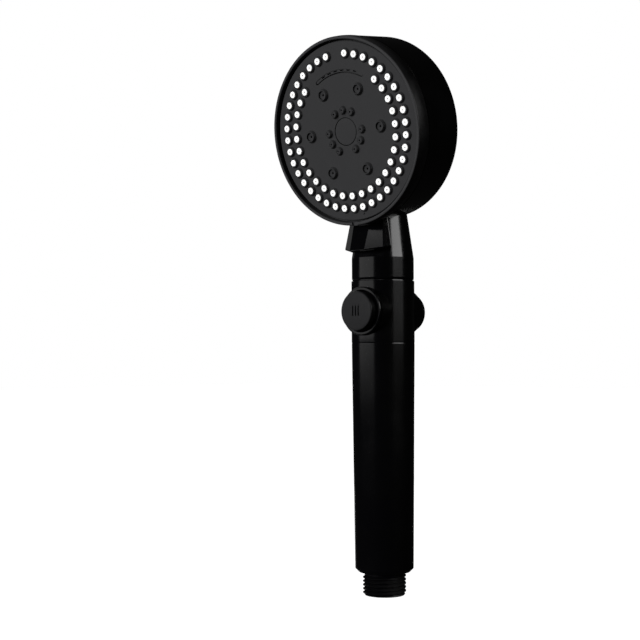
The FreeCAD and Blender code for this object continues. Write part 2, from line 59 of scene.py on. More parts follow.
# %% [markdown]
# ## Where things are
#
# The spray face turns about one axis and the buttons slide along another. Both axes come from the
# record, so a piece drawn in its own simple frame (axis up, height zero at the nozzle tips) lands in
# the right place with one matrix.

# %% Frames of the spray head and of the stop valve
joints = {joint["name"]: joint for joint in frame["joints"]}
face_joint = joints["spray_selector"]
tilt = math.atan2(-face_joint["axis"][2], -face_joint["axis"][1])
IN_HEAD = Matrix.Translation(face_joint["pos_m"]) @ Matrix.Rotation(math.pi / 2 + tilt, 4, "X")

ring_low, ring_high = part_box("front_bezel")
valve_height = (ring_low.z + ring_high.z) / 2
ACROSS = Matrix.Translation((0, 0, valve_height)) @ Matrix.Rotation(-math.pi / 2, 4, "X")
ACROSS_FRONT = Matrix.Translation((0, 0, valve_height)) @ Matrix.Rotation(math.pi / 2, 4, "X")
UPRIGHT = Matrix.Identity(4)
print("face tilt", round(math.degrees(tilt), 2), "degrees, valve axis at", round(valve_height / MM, 2), "mm")

# %% [markdown]
# ## The camera
#
# The view is nearly level, from the right of the face, with a lens long enough to keep the handle's
# sides almost parallel. The camera is rolled by a quarter of a degree, so the handle leans very
# slightly in the view.

# %% Make the camera
AZIMUTH = math.radians(41.655)
PITCH = math.radians(1.75)
ROLL = math.radians(-0.239)
STANDS_AT = (0.3951, -0.49041, 0.11381)
look = Vector((-math.sin(AZIMUTH) * math.cos(PITCH), math.cos(AZIMUTH) * math.cos(PITCH), math.sin(PITCH)))

camera_data = bpy.data.cameras.new("camera")
camera_data.sensor_width = 36.0
camera_data.lens = 72.60
camera_data.clip_start = 0.01
camera = bpy.data.objects.new("camera", camera_data)
bpy.context.scene.collection.objects.link(camera)
aim = look.to_track_quat("-Z", "Y").to_matrix().to_4x4()
camera.matrix_world = Matrix.Translation(STANDS_AT) @ aim @ Matrix.Rotation(ROLL, 4, "Z")
bpy.context.scene.camera = camera
print("lens", camera_data.lens, "mm at", [round(x, 3) for x in camera.location])

# %% [markdown]
# ## Colours and shader nodes
#
# A maker names colours in sRGB hex, as on a colour card, while a shader works in linear light, so one
# function converts. One more adds a node with its settings, socket values and links.

# %% Helpers for materials
def colour(hex_code, alpha=1.0):
    """Linear RGBA from an sRGB hex code such as 1A1A1B."""
    channels = [int(hex_code[i:i + 2], 16) / 255 for i in (0, 2, 4)]
    linear = [c / 12.92 if c <= 0.04045 else ((c + 0.055) / 1.055) ** 2.4 for c in channels]
    return (*linear, alpha)


def add(tree, kind, settings=(), values=(), links=()):
    """Add one node: settings are its properties, values its sockets, links what feeds its sockets."""
    node = tree.nodes.new(kind)
    for name, value in dict(settings).items():
        setattr(node, name, value)
    for name, value in dict(values).items():
        node.inputs[name].default_value = value
    for name, source in dict(links).items():
        tree.links.new(source, node.inputs[name])
    return node


def per_size(size_mm):
    """Texture scale, in repeats per metre, for a pattern whose features are size_mm across."""
    return 1 / (size_mm * MM)


def surface(name, hex_code, **sockets):
    """A named material with its Principled shader's plain values set."""
    material = bpy.data.materials.new(name)
    material.use_nodes = True
    tree = material.node_tree
    shader = tree.nodes["Principled BSDF"]
    shader.inputs["Base Color"].default_value = colour(hex_code)
    for socket, value in sockets.items():
        shader.inputs[socket.replace("_", " ")].default_value = value
    material.diffuse_color = colour(hex_code)
    return material, tree, shader


def grain(tree, size_mm, detail=3.0, stretch=(1, 1, 1)):
    """Noise fixed to the piece, with grains size_mm across."""
    place = add(tree, "ShaderNodeTexCoord").outputs["Object"]
    stretched = add(tree, "ShaderNodeMapping", values={"Scale": stretch}, links={"Vector": place})
    values = {"Scale": per_size(size_mm), "Detail": detail, "Roughness": 0.55}
    links = {"Vector": stretched.outputs["Vector"]}
    return add(tree, "ShaderNodeTexNoise", values=values, links=links).outputs["Fac"]


def spread(tree, source, low, high, start=0.3, end=0.7):
    """Spread a 0 to 1 pattern over the range low to high."""
    values = {"From Min": start, "From Max": end, "To Min": low, "To Max": high}
    return add(tree, "ShaderNodeMapRange", values=values, links={"Value": source}).outputs["Result"]


def roughen(tree, shader, source, depth_mm, strength=1.0):
    """Bump from a 0 to 1 pattern that is depth_mm high."""
    values = {"Distance": depth_mm * MM, "Strength": strength}
    bump = add(tree, "ShaderNodeBump", values=values, links={"Height": source})
    tree.links.new(bump.outputs["Normal"], shader.inputs["Normal"])


def tint(tree, shader, source, dark, light):
    """Colour that wanders between two close shades."""
    ramp = add(tree, "ShaderNodeValToRGB", links={"Fac": source})
    ramp.color_ramp.elements[0].color = colour(dark)
    ramp.color_ramp.elements[1].color = colour(light)
    tree.links.new(ramp.outputs["Color"], shader.inputs["Base Color"])


print("mid grey 808080 is", round(colour("808080")[0], 3), "in linear light")

# %% [markdown]
# ## The plastics
#
# The handle, neck and drum are piano-black ABS. The mould is polished like a mirror, so almost all the
# eye gets is the reflection of the lamps: a black body colour, an IOR of 1.5 and low roughness.
# Handling leaves it a little uneven: wiped patches some centimetres wide and a faint orange peel. The
# thread is the same plastic left unpolished, so its crests are dull and its wiped patches small.

# %% Piano-black moulded ABS
def gloss_abs(name, wiped_mm=22.0, peel_mm=2.4, low=0.13, high=0.21):
    """Polished black ABS: deep and wet-looking, with a soft edge to every reflection."""
    material, tree, shader = surface(name, "050506", Roughness=0.16, IOR=1.5)
    wiped = grain(tree, wiped_mm, detail=4.0)
    tree.links.new(spread(tree, wiped, low, high), shader.inputs["Roughness"])
    tint(tree, shader, wiped, "020203", "050506")
    roughen(tree, shader, grain(tree, peel_mm, detail=1.0), depth_mm=0.004, strength=0.35)
    return material


gloss_black = gloss_abs("moulded_gloss_abs")
handled_black = gloss_abs("moulded_gloss_abs_handled", wiped_mm=30.0, low=0.15, high=0.24)
thread_black = gloss_abs("moulded_abs_thread", wiped_mm=6.0, low=0.42, high=0.55)
print("gloss blacks:", gloss_black.name, handled_black.name, thread_black.name)

# %% [markdown]
# The spray plate is the same ABS from a spark-eroded mould. Its surface is a field of tiny pits, which
# scatter the light, so it looks dark grey and dry beside the shell. Real pits are about 0.05 mm across,
# too fine to show, so they are drawn at 0.35 mm. The rim and the button caps come from finer texture:
# they are smoother, the caps darker and the rim a little lighter than the plate.

# %% Spark-eroded satin ABS
def satin_abs(name, dark, light, roughness=0.48):
    """Textured black ABS: an even dark grey with a dry, soft sheen."""
    material, tree, shader = surface(name, dark, Roughness=roughness, IOR=1.5, Specular_IOR_Level=0.22)
    pits = grain(tree, 0.35, detail=2.0)
    clouds = grain(tree, 9.0, detail=3.0)
    tint(tree, shader, clouds, dark, light)
    tree.links.new(spread(tree, clouds, roughness - 0.05, roughness + 0.07), shader.inputs["Roughness"])
    roughen(tree, shader, pits, depth_mm=0.02, strength=0.35)
    return material


satin_black = satin_abs("spark_eroded_satin_abs", "29292A", "303031")
cap_black = satin_abs("spark_eroded_satin_abs_cap", "1A1A1B", "202021", roughness=0.34)
rim_black = satin_abs("spark_eroded_satin_abs_rim", "2C2C2D", "343435", roughness=0.36)
print("satin blacks:", satin_black.name, cap_black.name, rim_black.name)

# %% [markdown]
# The rain nozzles are white liquid silicone, soft enough to rub limescale off with a thumb. Light goes
# a little way into it, so it glows and its shadows are never hard. The massage and mist jets are the
# same rubber in black, with the bloom of fine dust that black rubber always carries.

# %% Silicones
def silicone(name, dark, light, glow, bloom_mm):
    """Moulded silicone rubber: a dry, waxy skin with a soft inside."""
    material, tree, shader = surface(
        name, dark, Roughness=0.5, IOR=1.41, Specular_IOR_Level=0.3, Subsurface_Weight=glow)
    shader.inputs["Subsurface Radius"].default_value = (1.0, 0.9, 0.8)
    shader.inputs["Subsurface Scale"].default_value = 0.6 * MM
    bloom = grain(tree, bloom_mm, detail=3.0)
    tint(tree, shader, bloom, dark, light)
    tree.links.new(spread(tree, bloom, 0.42, 0.6), shader.inputs["Roughness"])
    roughen(tree, shader, grain(tree, 0.3, detail=1.0), depth_mm=0.008, strength=0.3)
    return material


white_silicone = silicone("liquid_silicone_white", "F4F4F2", "FCFCFB", glow=0.12, bloom_mm=3.0)
black_silicone = silicone("liquid_silicone_black", "29292A", "333334", glow=0.0, bloom_mm=1.8)
seal_rubber = silicone("nitrile_rubber", "161616", "202020", glow=0.0, bloom_mm=1.2)
print("silicones:", white_silicone.name, black_silicone.name, seal_rubber.name)

# %% [markdown]
# Inside, the water parts are acetal and plain grey ABS, and the screws, springs and strainer are
# stainless steel. They show only through the inlet or with the face off, but they are finished too.

# %% Inner plastics and steel
def inner_plastic(name, dark, light):
    """Unpolished moulding: flow clouds some millimetres wide and a faint grain."""
    material, tree, shader = surface(name, dark, Roughness=0.42, IOR=1.48)
    clouds = grain(tree, 6.0)
    tint(tree, shader, clouds, dark, light)
    tree.links.new(spread(tree, clouds, 0.36, 0.5), shader.inputs["Roughness"])
    roughen(tree, shader, grain(tree, 0.5), depth_mm=0.01, strength=0.4)
    return material


def turned_steel(name):
    """Drawn stainless steel: bright, greyish and streaked along Z."""
    material, tree, shader = surface(name, "B9B9B6", Roughness=0.3, Metallic=1.0)
    streaks = grain(tree, 0.4, detail=3.0, stretch=(1, 1, 0.08))
    tint(tree, shader, streaks, "A9A9A6", "C8C8C5")
    tree.links.new(spread(tree, streaks, 0.22, 0.4), shader.inputs["Roughness"])
    roughen(tree, shader, streaks, depth_mm=0.004, strength=0.4)
    return material


acetal = inner_plastic("moulded_acetal", "D9D9D3", "E6E6E1")
grey_abs = inner_plastic("moulded_grey_abs", "9FA1A3", "B0B2B3")
steel = turned_steel("drawn_stainless_steel")
print("inner finishes:", acetal.name, grey_abs.name, steel.name)

# %% [markdown]
# ## Dressing the carried-over pieces
#
# Every CAD node keeps its shape and gets the finish of its record slot. The nodes that are seen are
# then replaced by finer pieces below.

# %% Give each CAD node its finish
finish_of_slot = {
    "gloss_black_abs": gloss_black, "satin_black_abs": satin_black, "white_silicone": white_silicone,
    "black_silicone": black_silicone, "seal_rubber": seal_rubber, "white_acetal": acetal,
    "grey_abs": grey_abs, "stainless": steel,
}
for subpart in frame["record"]["subparts"]:
    node = frame["nodes"][subpart["node"]]
    node.data.materials.clear()
    node.data.materials.append(finish_of_slot[subpart["material_slot"]])

# %% [markdown]
# ## Turning a profile
#
# Nearly every part of a shower head is round, so the first tool is the lathe: a half-outline of
# (radius, height) points in millimetres, joined by edges and spun once round. Corners that a mould
# would leave soft are bevelled afterwards, by the angle between their faces.

# %% The lathe, soft edges and a finished piece
def turned(outline, steps=128):
    """Spin a closed outline of (radius, height) points in mm about Z."""
    shape = bmesh.new()
    corners = [shape.verts.new((radius * MM, 0, height * MM)) for radius, height in outline]
    for a, b in zip(corners, corners[1:] + corners[:1]):
        if a.co.x > 0 or b.co.x > 0:
            shape.edges.new((a, b))
    bmesh.ops.spin(
        shape, geom=shape.verts[:] + shape.edges[:], cent=(0, 0, 0), axis=(0, 0, 1),
        angle=math.tau, steps=steps, use_merge=True)
    clean(shape)
    return shape


def clean(shape):
    """Merge doubled points and turn every face outwards."""
    bmesh.ops.remove_doubles(shape, verts=shape.verts, dist=0.002 * MM)
    bmesh.ops.dissolve_degenerate(shape, edges=shape.edges, dist=0.001 * MM)
    bmesh.ops.recalc_face_normals(shape, faces=shape.faces)


def soften(shape, width_mm, over_degrees=35.0, segments=3, where=None):
    """Bevel the edges whose faces meet at more than the stated angle."""
    edges = [
        edge for edge in shape.edges
        if edge.is_manifold and edge.calc_face_angle() > math.radians(over_degrees)
        and (where is None or where(edge))]
    bmesh.ops.bevel(
        shape, geom=edges, offset=width_mm * MM, offset_type="OFFSET", segments=segments,
        profile=0.5, affect="EDGES", clamp_overlap=True, material=-1)


def piece(name, shape, place, material, body, *stands_for, sharp_degrees=31.0):
    """Place a shape, smooth it, and make it ride on its body in place of some CAD nodes."""
    shape.transform(place)
    open_edges = sum(not edge.is_manifold for edge in shape.edges)
    mesh = bpy.data.meshes.new(name)
    shape.to_mesh(mesh)
    shape.free()
    mesh.shade_smooth()
    mesh.set_sharp_from_angle(angle=math.radians(sharp_degrees))
    mesh.materials.append(material)
    made = bpy.data.objects.new(name, mesh)
    bpy.context.scene.collection.objects.link(made)
    shading = made.modifiers.new("flat_faces_stay_flat", "WEIGHTED_NORMAL")
    shading.keep_sharp = True
    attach(made, body)
    if stands_for:
        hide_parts(*stands_for)
    size = [round(x / MM, 1) for x in made.dimensions]
    print(f"{name}: {len(mesh.polygons)} faces, {open_edges} open edges, {size} mm, rides on {body}")
    return made


def boolean(shape, other, operation):
    """Cut or join one closed shape with another and return the result."""
    carriers = []
    for part in (shape, other):
        mesh = bpy.data.meshes.new("carrier")
        part.to_mesh(mesh)
        part.free()
        carriers.append(bpy.data.objects.new("carrier", mesh))
        bpy.context.scene.collection.objects.link(carriers[-1])
    kept, tool = carriers
    modifier = kept.modifiers.new("join", "BOOLEAN")
    modifier.operation = operation
    modifier.solver = "EXACT"
    modifier.object = tool
    ready = kept.evaluated_get(bpy.context.evaluated_depsgraph_get())
    result = bmesh.new()
    result.from_mesh(ready.to_mesh())
    ready.to_mesh_clear()
    for carrier in carriers:
        mesh = carrier.data
        bpy.data.objects.remove(carrier)
        bpy.data.meshes.remove(mesh)
    clean(result)
    return result


def copies(shape, places):
    """One shape repeated at (x, y) places in mm."""
    every = bmesh.new()
    mesh = bpy.data.meshes.new("copies")
    shape.to_mesh(mesh)
    shape.free()
    for x, y in places:
        start = len(every.verts)
        every.from_mesh(mesh)
        every.verts.ensure_lookup_table()
        bmesh.ops.translate(every, verts=every.verts[start:], vec=(x * MM, y * MM, 0))
    bpy.data.meshes.remove(mesh)
    return every


def on_circle(radius, clock_degrees):
    """(x, y) on a circle in mm, counted clockwise from the top as seen from the front."""
    angle = math.radians(clock_degrees)
    return radius * math.sin(angle), radius * math.cos(angle)


print("a 10 mm arm at three o'clock ends at", [round(x, 2) for x in on_circle(10, 90)])

# %% [markdown]
# ## The handle
#
# The handle is one long tapered sleeve, 28 mm across at the bottom and 30.5 mm at the top. Its lower
# end is cut to a cone so that it slips into a wall holder, and a tiny chamfer at the top makes half of
# the seam line under the valve. It is a pure lathe job. The two bevels on the narrow foot meet in its
# middle, so the points where they touch are merged afterwards.

# %% Handle sleeve
sleeve = turned([
    (12.2, 11.2), (12.5, 11.2), (14.17, 12.9), (14.45, 40.0), (14.87, 82.0), (15.27, 121.05),
    (15.16, 121.6), (12.2, 121.6)], steps=160)
soften(sleeve, 0.45, over_degrees=25, where=lambda edge: edge.verts[0].co.z < 13 * MM)
clean(sleeve)
piece("handle_sleeve", sleeve, UPRIGHT, handled_black, "handset", "grip_shell")

# %% [markdown]
# ## The inlet thread
#
# A half-inch pipe thread has 14 turns to the inch. Its V profile, one pitch high, is swept up a helix:
# a spin that also climbs. The ends are then cut flat with two planes, the loose rings closed, and the
# first turn ground down by a lead-in cone so that a nut finds its way on.

# %% Threaded inlet
CREST = 10.4775
PITCH = 25.4 / 14
DEPTH = 1.05
THREAD_LOW, THREAD_HIGH = 0.0, 9.5
LEAD_IN_RADIUS = 9.6
BORE = ((8.35, 0.0), (8.2, 0.15), (8.2, 3.0), (5.8, 3.0), (5.8, 14.0), (7.5, 14.0), (7.5, 24.0))
OUTSIDE = ((9.2, 9.7), (9.2, 10.6), (9.4, 10.7), (12.1, 11.2), (12.1, 24.0))


def thread_skin():
    """The helical flank surface between two flat planes, as an open tube."""
    shape = bmesh.new()
    steps_a_turn = 72
    turns = 8
    wave = [(CREST - DEPTH, 0.0), (CREST - DEPTH + 0.12, 0.12), (CREST - 0.1, 0.70), (CREST, 0.79),
            (CREST, 1.02), (CREST - 0.1, 1.11), (CREST - DEPTH + 0.12, 1.69), (CREST - DEPTH, PITCH)]
    line = [shape.verts.new((radius * MM, 0, (height - 1.5 * PITCH) * MM)) for radius, height in wave]
    for a, b in zip(line, line[1:]):
        shape.edges.new((a, b))
    bmesh.ops.spin(
        shape, geom=shape.verts[:] + shape.edges[:], cent=(0, 0, 0), axis=(0, 0, 1),
        dvec=(0, 0, PITCH * MM / steps_a_turn), angle=math.tau * turns, steps=steps_a_turn * turns)
    bmesh.ops.remove_doubles(shape, verts=shape.verts, dist=0.01 * MM)
    for height, side in ((THREAD_LOW, -1), (THREAD_HIGH, 1)):
        bmesh.ops.bisect_plane(
            shape, geom=shape.verts[:] + shape.edges[:] + shape.faces[:], dist=0.001 * MM,
            plane_co=(0, 0, height * MM), plane_no=(0, 0, side), clear_outer=True)
    return shape


def open_ring(shape, height):
    """The open edges that lie at a height in mm, within a hundredth."""
    return [
        edge for edge in shape.edges
        if edge.is_boundary and all(abs(vert.co.z - height * MM) < 0.01 * MM for vert in edge.verts)]


def run_on(shape, ring, radius, height):
    """Extrude an open ring of edges to a circle of the stated radius and height in mm."""
    grown = bmesh.ops.extrude_edge_only(shape, edges=ring)["geom"]
    for vert in (item for item in grown if isinstance(item, bmesh.types.BMVert)):
        flat = Vector((vert.co.x, vert.co.y, 0)).normalized() * radius * MM
        vert.co = (flat.x, flat.y, height * MM)
    return [item for item in grown if isinstance(item, bmesh.types.BMEdge)]


nipple = thread_skin()
for vert in nipple.verts:
    lead_in = (LEAD_IN_RADIUS + (vert.co.z / MM - THREAD_LOW)) * MM
    reach = math.hypot(vert.co.x, vert.co.y)
    if reach > lead_in:
        vert.co.x *= lead_in / reach
        vert.co.y *= lead_in / reach
ring = open_ring(nipple, THREAD_LOW)
for radius, height in BORE:
    ring = run_on(nipple, ring, radius, height)
inner_top = ring
ring = open_ring(nipple, THREAD_HIGH)
for radius, height in OUTSIDE:
    ring = run_on(nipple, ring, radius, height)
bmesh.ops.bridge_loops(nipple, edges=inner_top + ring)
clean(nipple)
piece("threaded_inlet", nipple, UPRIGHT, thread_black, "handset", "inlet_nipple")

# %% [markdown]
# ## The valve section
#
# Above the handle sits a short collar with a boss through it, front to back, for the push buttons.
# The collar and the boss are turned apart on two axes and joined with an exact boolean, because their
# meeting line is a curve that no lathe makes. The line is then rounded as a moulded foot would be.

# %% Valve collar and its boss
COLLAR_RADIUS = 15.3
BOSS_END = 15.1
WELL_RADIUS, WELL_FLOOR = 9.8, 8.5
RING_RADIUS, RING_FACE = 11.7, 16.9
collar = turned([
    (7.5, 121.6), (15.15, 121.6), (COLLAR_RADIUS, 122.1), (COLLAR_RADIUS, 151.4), (15.2, 151.75),
    (14.6, 151.75), (14.6, 152.1), (7.5, 152.1)], steps=160)
boss = turned([
    (0, -BOSS_END), (11.91, -BOSS_END), (12.7, -8.5), (12.7, 8.5), (11.91, BOSS_END), (0, BOSS_END)])
boss.transform(ACROSS)
body = boolean(collar, boss, "UNION")


def at_foot(edge):
    """True where the side of the boss meets the collar."""
    middle = (edge.verts[0].co + edge.verts[1].co) / 2
    from_axis = math.hypot(middle.x, middle.z - valve_height)
    on_collar = abs(math.hypot(middle.x, middle.y) - COLLAR_RADIUS * MM) < 0.05 * MM
    return on_collar and abs(middle.x) > 4.5 * MM and 12.0 * MM < from_axis < 12.75 * MM


soften(body, 0.5, over_degrees=8, segments=4, where=at_foot)
clean(body)
for side in (ACROSS, ACROSS_FRONT):
    well = turned([
        (0, WELL_FLOOR), (WELL_RADIUS, WELL_FLOOR), (WELL_RADIUS, BOSS_END), (RING_RADIUS, BOSS_END),
        (RING_RADIUS, 20), (0, 20)], steps=96)
    well.transform(side)
    body = boolean(body, well, "DIFFERENCE")
piece("valve_section", body, UPRIGHT, gloss_black, "handset", "valve_housing")

# %% [markdown]
# A thin ring is pressed around each button. Its rounded front edge is what draws the bright line
# around the button, so that edge gets a real radius and enough segments to carry a highlight.

# %% Button rings
for name, side, node in (("front_ring", ACROSS_FRONT, "front_bezel"), ("rear_ring", ACROSS, "rear_bezel")):
    ring_shape = turned([
        (WELL_RADIUS, BOSS_END), (RING_RADIUS, BOSS_END), (RING_RADIUS, RING_FACE), (WELL_RADIUS, RING_FACE)])
    soften(ring_shape, 0.55, segments=5, where=lambda edge: edge.verts[0].co.z > 16.8 * MM)
    piece(name, ring_shape, side, gloss_black, "handset", node)

# %% [markdown]
# ## The push buttons
#
# The stop valve is a rod with a cap on each end: push the front one to stop the water, the rear one to
# let it run. Each cap is a cup with a slightly crowned face. Three short grooves on the front tell the
# thumb which is which. The grooves are cut with bars whose ends have been rounded.

# %% Button caps
CAP_TOP = [(0, 0.0), (2.35, -0.02), (4.7, -0.09), (7.05, -0.2), (8.3, -0.27), (9.4, -0.35)]
CAP_CUP = [
    (9.5, -9.1), (7.9, -9.1), (7.8, -2.2), (4.6, -2.2), (4.6, -9.1), (3.0, -9.1), (3.0, -4.1), (0, -4.1)]


def cap_shape():
    shape = turned(CAP_TOP + CAP_CUP)
    soften(shape, 0.5, segments=5, where=lambda edge: all(
        vert.co.z > -0.4 * MM and math.hypot(vert.co.x, vert.co.y) > 9.3 * MM for vert in edge.verts))
    return shape


def groove_bars():
    bar = bmesh.new()
    bmesh.ops.create_cube(bar, size=1.0, matrix=Matrix.Diagonal((0.75 * MM, 5.0 * MM, 1.2 * MM, 1)))
    upright = [e for e in bar.edges if abs(e.verts[0].co.z - e.verts[1].co.z) > 0.5 * MM]
    bmesh.ops.bevel(
        bar, geom=upright, offset=0.36 * MM, offset_type="OFFSET", segments=4, profile=0.5,
        affect="EDGES", material=-1)
    return copies(bar, [(-1.7, 0), (0, 0), (1.7, 0)])


front_face = -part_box("front_button")[0].y
rear_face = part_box("rear_button")[1].y
front_cap = boolean(cap_shape(), groove_bars(), "DIFFERENCE")
soften(front_cap, 0.12, over_degrees=60, segments=2, where=lambda edge: all(
    vert.co.z > -0.5 * MM and math.hypot(vert.co.x, vert.co.y) < 4 * MM for vert in edge.verts))
piece("front_push_cap", front_cap, ACROSS_FRONT @ Matrix.Translation((0, 0, front_face)), cap_black,
      "stop_valve", "front_button")
piece("rear_push_cap", cap_shape(), ACROSS @ Matrix.Translation((0, 0, rear_face)), cap_black,
      "stop_valve", "rear_button")

# %% [markdown]
# ## The neck
#
# The neck starts as a collar as wide as the handle, then narrows in a straight cone and ends in a
# round crown behind the drum. The crown is an arc centred on the axis, so its pole closes smoothly.

# %% Neck cone
def crown(radius, height, rise, steps=10):
    """Points of an arc from (radius, height) up to the axis."""
    ball = (radius ** 2 + rise ** 2) / (2 * abs(rise))
    start = math.asin(radius / ball)
    sign = math.copysign(1, rise)
    angles = [start * (1 - step / steps) for step in range(1, steps + 1)]
    return [(ball * math.sin(a), height + rise - sign * ball * (1 - math.cos(a))) for a in angles]


NECK_TOP = 15.08 - 0.145 * (189.0 - 162.8)
neck = turned([
    (0, 152.25), (14.73, 152.25), (14.98, 152.5), (15.08, 153.15), (15.08, 162.8),
    (NECK_TOP, 189.0)] + crown(NECK_TOP, 189.0, 9.0, steps=24)[:-1] + [(0, 198.0)], steps=160)
piece("neck_cone", neck, UPRIGHT, gloss_black, "handset", "neck_shell", sharp_degrees=6.0)

# %% [markdown]
# ## The drum
#
# The fixed part of the head is a drum a finger deep, drawn in the head's own frame. Its radius falls by
# 0.7 mm towards the back so that it leaves its mould, and it has a small rounded corner and a back
# that is domed by less than a millimetre, which keeps the reflections on it alive.

# %% Drum shell
def drum_outline(inside):
    """The drum's outside from its front lip to the middle of its back, then the points inside."""
    corner = [(41.3 + 2.6 * math.cos(a), -29.7 - 2.6 * math.sin(a))
              for a in (math.radians(15 * step) for step in range(7))]
    skin = [(42.6, -4.7), (42.6, -7.3), (44.35, -7.3), (44.6, -7.55)] + corner
    skin += crown(41.3, -32.3, -0.9, steps=14)[:-1] + [(0, -33.2)]
    return skin + inside


drum = turned(drum_outline([(0, -29.2), (40.6, -29.2), (40.6, -4.7)]), steps=192)
piece("drum_shell", drum, IN_HEAD, gloss_black, "handset", "head_housing")

# %% [markdown]
# ## The chin
#
# A faceted fairing carries the neck's line forward to the rim. It is three eight-sided rings, bridged
# and capped: the lowest gives it a shallow hopper-shaped underside. The ridges of its front half are
# bevelled by a fraction of a millimetre. The drum and the room that the turning rim needs are then cut
# away.

# %% Chin fairing
def half_ring(height, points, rise=0.0):
    """Eight corners from four (x, y) points on the right half, in mm, climbing by rise towards the back."""
    front_y = points[-1][1]
    right = [Vector((x, y, height + rise * (y - front_y))) * MM for x, y in points]
    left = [Vector((-p.x, p.y, p.z)) for p in right]
    return left + right[::-1]


RINGS = [
    half_ring(165.7, [(10.6, -7.0), (11.4, -8.7), (9.2, -11.1), (3.2, -14.2)]),
    half_ring(165.6, [(11.1, -7.2), (14.4, -10.95), (11.9, -14.4), (4.1, -19.9)], rise=0.2235),
    half_ring(190.0, [(7.6, -7.3), (9.95, -9.9), (8.6, -11.2), (5.1, -12.6)]),
]
chin = bmesh.new()
loops = []
for ring_points in RINGS:
    verts = [chin.verts.new(p) for p in ring_points]
    loops.append([chin.edges.new((a, b)) for a, b in zip(verts, verts[1:] + verts[:1])])
for under, over in zip(loops, loops[1:]):
    bmesh.ops.bridge_loops(chin, edges=under + over)
bmesh.ops.edgeloop_fill(chin, edges=loops[0])
bmesh.ops.edgeloop_fill(chin, edges=loops[2])
clean(chin)
soften(chin, 0.45, over_degrees=12, segments=3, where=lambda edge: edge.verts[0].co.y < -6 * MM)
turning_room = turned([(0, -7.1), (45.2, -7.1), (45.2, 30), (0, 30)], steps=160)
turning_room.transform(IN_HEAD)
drum_room = turned(drum_outline([(0, -4.7)]), steps=160)
drum_room.transform(IN_HEAD)
chin = boolean(boolean(chin, turning_room, "DIFFERENCE"), drum_room, "DIFFERENCE")
piece("chin_fairing", chin, UPRIGHT, gloss_black, "handset", "chin_cover")

# %% [markdown]
# ## The turning rim
#
# The whole spray face turns in the drum, and the rim is what the fingers hold. It stands a little
# proud of the drum, is softly crowned, and has a small notch at its lowest point that marks the mode.

# %% Turning rim
rim = turned([
    (42.9, -7.0), (44.5, -7.0), (44.72, -5.6), (44.8, -4.2), (44.79, -3.0), (44.75, -2.0), (44.5, 0.6),
    (43.05, 0.6)], steps=192)
soften(rim, 0.45, segments=4, where=lambda edge: edge.verts[0].co.z > 0.5 * MM)
notch = bmesh.new()
notch_size = Matrix.Diagonal((3.2 * MM, 4.0 * MM, 1.4 * MM, 1))
notch_place = Matrix.Translation((0, -44.2 * MM, 0.4 * MM))
bmesh.ops.create_cube(notch, size=1.0, matrix=notch_place @ notch_size)
rim = boolean(rim, notch, "DIFFERENCE")
piece("turning_rim", rim, IN_HEAD, rim_black, "spray_face", "front_rim")

# %% [markdown]
# ## The spray plate
#
# The plate carries 64 rain nozzles in one and a half rings, six massage jets, nine mist jets and a
# curved slot. Each opening stands in a little collar with a flared foot. The collars are turned once,
# copied to their places, joined to the plate, and all the holes are cut in one go.

# %% Where the openings are
rain_places = [on_circle(36.46, 9.0 * (k + 1)) for k in range(39)]
rain_places += [on_circle(30.5, 45.0 + 11.25 * k) for k in range(25)]
large_places = [on_circle(21.5, 30 + 60 * k) for k in range(6)]
small_places = [on_circle(10.1, 30 * k) for k in range(12) if k % 4 != 2]
print(len(rain_places), "rain nozzles,", len(large_places), "massage jets,", len(small_places), "mist jets")

# %% Plate with its collars and holes
COLLARS = (
    (rain_places, 1.68, [(2.85, -1.31), (2.6, -1.18), (2.46, -0.95), (2.09, -0.18), (2.0, -0.1)]),
    (large_places, 2.0, [(3.4, -1.31), (3.1, -1.15), (2.95, -0.85), (2.45, 0.1), (2.35, 0.2)]),
    (small_places, 1.1, [(2.4, -1.31), (2.14, -1.17), (2.0, -0.9), (1.6, 0.1), (1.5, 0.2)]),
)


def slot_shape(half_width, low, high, radius=28.3):
    """A bar bent along the top of the face, with round ends: one closed outline, raised to its height."""
    reach = 29

    def arc(at_radius, start, end):
        return [on_circle(at_radius, start + (end - start) * step / 40) for step in range(41)]

    def round_end(clock, first):
        x, y = on_circle(radius, clock)
        turns = [on_circle(half_width, first + 15 * step) for step in range(1, 12)]
        return [(x + dx, y + dy) for dx, dy in turns]

    outline = arc(radius + half_width, -reach, reach) + round_end(reach, reach)
    outline += arc(radius - half_width, reach, -reach) + round_end(-reach, 180 - reach)
    shape = bmesh.new()
    low_ring = [shape.verts.new((x * MM, y * MM, low * MM)) for x, y in outline]
    high_ring = [shape.verts.new((x * MM, y * MM, high * MM)) for x, y in outline]
    shape.faces.new(low_ring)
    shape.faces.new(high_ring)
    for step in range(len(outline)):
        shape.faces.new((low_ring[step - 1], low_ring[step], high_ring[step], high_ring[step - 1]))
    clean(shape)
    return shape


